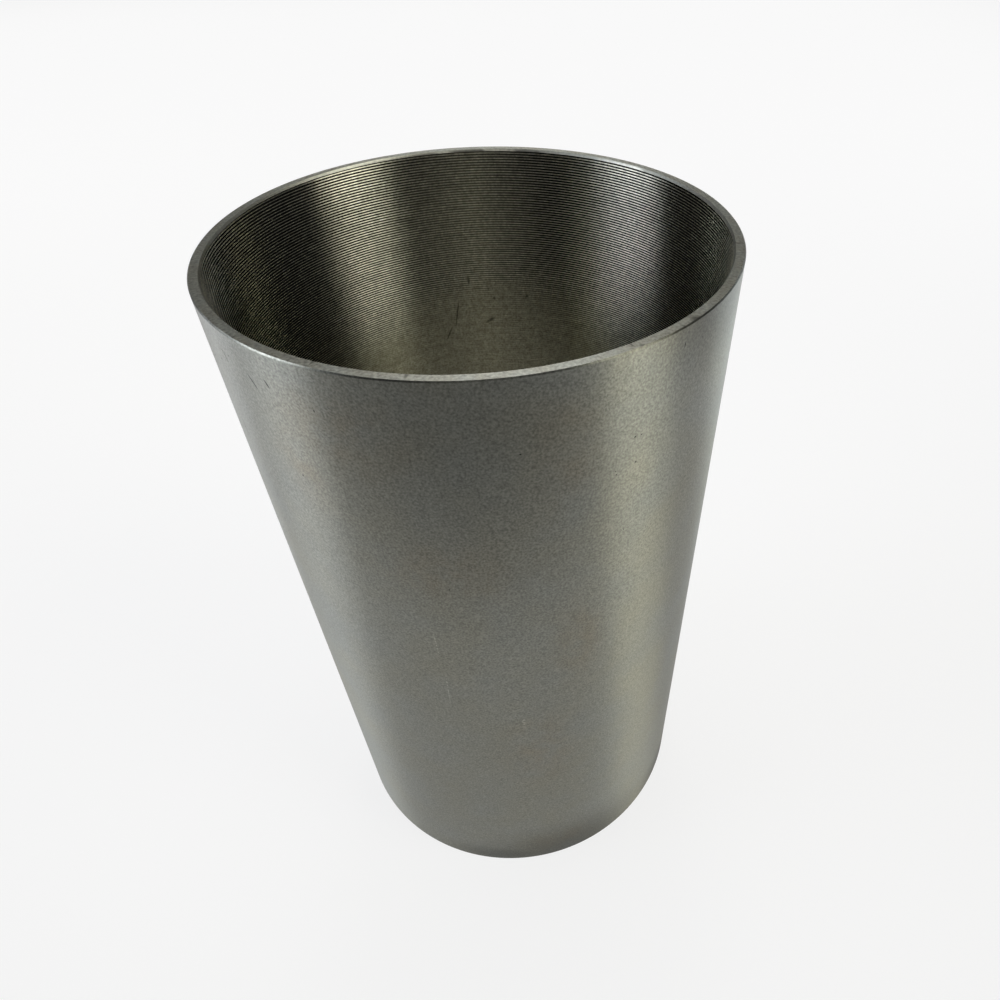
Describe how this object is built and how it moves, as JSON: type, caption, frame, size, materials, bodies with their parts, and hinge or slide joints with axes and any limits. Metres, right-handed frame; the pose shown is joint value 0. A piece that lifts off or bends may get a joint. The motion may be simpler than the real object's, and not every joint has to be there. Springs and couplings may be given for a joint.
{
  "type": "cylinder liner",
  "caption": "Plain thin-walled dry cylinder liner: a flangeless cast-iron sleeve, ground outside and rough-bored inside, with a small chamfer at each mouth of the bore.",
  "frame": {"origin": "centre of the lower end face, on the axis of the bore", "axes": "+Z along the axis of the bore, from the lower end to the upper end"},
  "size_m": [0.0903, 0.0902, 0.15],
  "materials": {
    "cast_iron": "ground satin outside, faced ends, bored inside with a fine feed thread"
  },
  "bodies": {
    "root": {"cylinder_liner": "cast_iron"}
  },
  "joints": []
}
